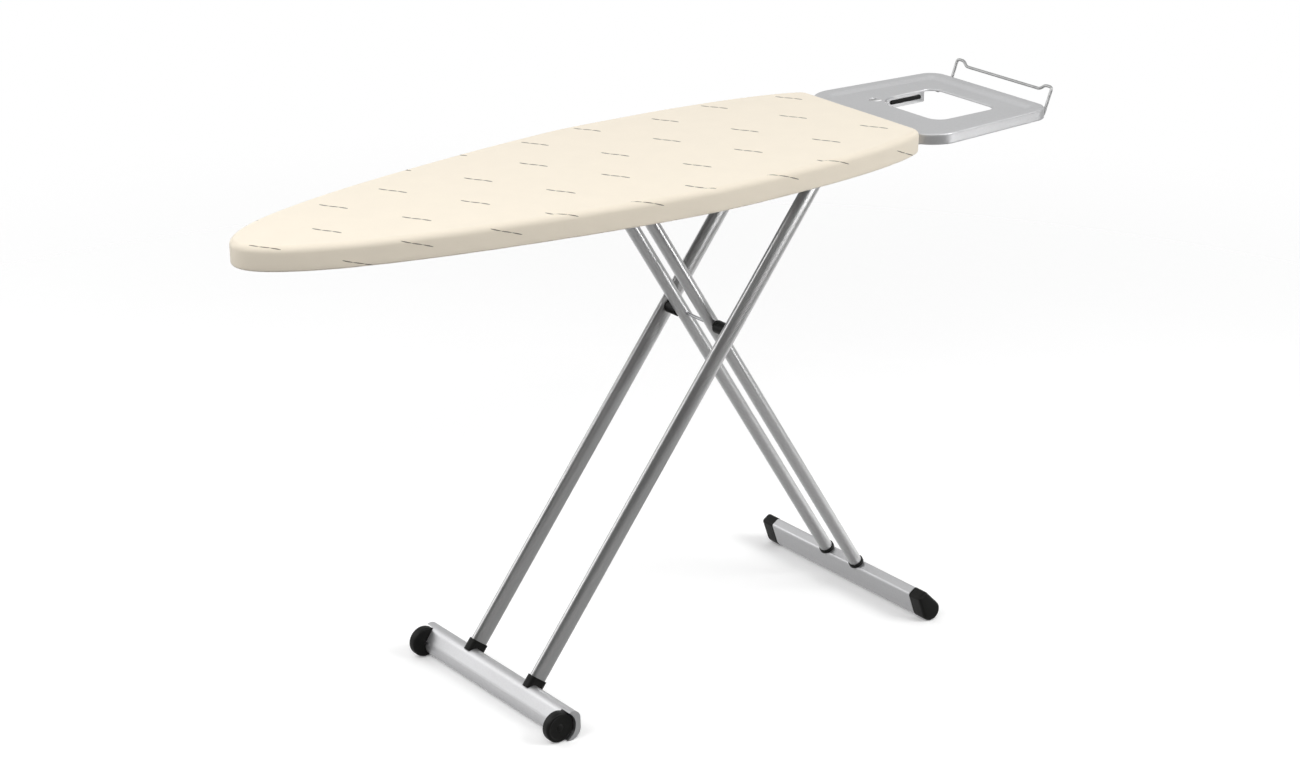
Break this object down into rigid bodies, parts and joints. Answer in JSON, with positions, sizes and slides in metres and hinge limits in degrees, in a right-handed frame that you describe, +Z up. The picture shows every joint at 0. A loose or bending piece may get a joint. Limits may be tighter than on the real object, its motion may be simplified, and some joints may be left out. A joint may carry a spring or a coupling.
{
  "type": "ironing board",
  "caption": "Folding ironing board: padded cotton-covered top with a rounded nose, crossed tube legs, wheeled foot, iron rest with a well and a wire stop rail.",
  "frame": {"origin": "on the floor, under the middle of the whole object", "axes": "+X along the board towards the iron rest, -Y the side that faces the viewer, +Z up"},
  "size_m": [1.59, 0.45, 0.9137],
  "materials": {
    "cover_cotton": "matt plain-woven cotton with a small printed dash motif",
    "felt": "needled felt",
    "panel_steel": "satin grey powder coat",
    "tube_silver": "semi-gloss silver lacquer",
    "foot_silver": "satin silver lacquer",
    "tray_silver": "satin silver powder coat",
    "wire_grey": "drawn wire, dull",
    "bare_steel": "zinc plated",
    "black_plastic": "fine-grained moulded",
    "black_rubber": "matt silicone"
  },
  "bodies": {
    "board": {"cover": "cover_cotton", "felt_pad": "felt", "board_panel": "panel_steel", "rim_band": "panel_steel", "slide_channel_near": "panel_steel", "slide_channel_far": "panel_steel", "hinge_bracket_near": "panel_steel", "hinge_bracket_far": "panel_steel", "hinge_rod": "bare_steel", "rod_caps": "black_plastic", "rest_arm_near": "tube_silver", "rest_arm_far": "tube_silver", "arm_clamps": "panel_steel", "tray_brackets": "panel_steel", "iron_rest": "tray_silver", "rest_bumper": "black_rubber", "wire_rail": "wire_grey", "rail_sockets": "black_plastic", "lever_bracket": "panel_steel", "lever_pin": "bare_steel", "comb_bracket": "panel_steel", "comb_pin": "bare_steel", "lever_spring": "bare_steel"},
    "latch": {"latch_comb": "bare_steel"},
    "lever": {"release_lever": "bare_steel", "lever_grip": "black_plastic"},
    "outer_legs": {"outer_leg_near": "tube_silver", "outer_leg_far": "tube_silver", "outer_crossbar": "tube_silver", "outer_collars": "black_plastic", "nose_foot": "foot_silver", "pivot_rod": "bare_steel", "pivot_spacers": "black_plastic", "wheel_axles": "bare_steel"},
    "wheel_near": {"wheel_near": "black_plastic"},
    "wheel_far": {"wheel_far": "black_plastic"},
    "inner_legs": {"inner_leg_near": "tube_silver", "inner_leg_far": "tube_silver", "slide_bar": "bare_steel", "bar_glides": "black_plastic", "inner_collars": "black_plastic", "rest_foot": "foot_silver", "foot_cap_near": "black_plastic", "foot_cap_far": "black_plastic"}
  },
  "joints": [
    {"name": "leg_fold", "type": "hinge", "parent": "board", "child": "outer_legs", "pos_m": [0.30566, 0, 0.862], "axis": [0, 1, 0], "range_deg": [0, 50]},
    {"name": "leg_scissor", "type": "hinge", "parent": "outer_legs", "child": "inner_legs", "pos_m": [0.0964, 0, 0.5886], "axis": [0, -1, 0], "range_deg": [0, 105]},
    {"name": "lever_lift", "type": "hinge", "parent": "board", "child": "lever", "pos_m": [-0.038, 0.07, 0.8737], "axis": [-1, 0, 0], "range_deg": [0, 3.2], "stiffness_Nm_per_rad": 2, "springref_deg": -5.73, "deforming": ["lever_spring"]},
    {"name": "latch_lift", "type": "hinge", "parent": "board", "child": "latch", "pos_m": [-0.4, 0, 0.879], "axis": [0, -1, 0], "range_deg": [0, 0.7]},
    {"name": "wheel_near_spin", "type": "hinge", "parent": "outer_legs", "child": "wheel_near", "pos_m": [-0.3488, -0.203, 0.027], "axis": [0, 1, 0], "continuous": true},
    {"name": "wheel_far_spin", "type": "hinge", "parent": "outer_legs", "child": "wheel_far", "pos_m": [-0.3488, 0.203, 0.027], "axis": [0, 1, 0], "continuous": true}
  ],
  "couplings": [
    {"joint": "leg_scissor", "follows": "leg_fold", "ratio": 2.0987},
    {"joint": "latch_lift", "follows": "lever_lift", "ratio": 0.19337}
  ]
}
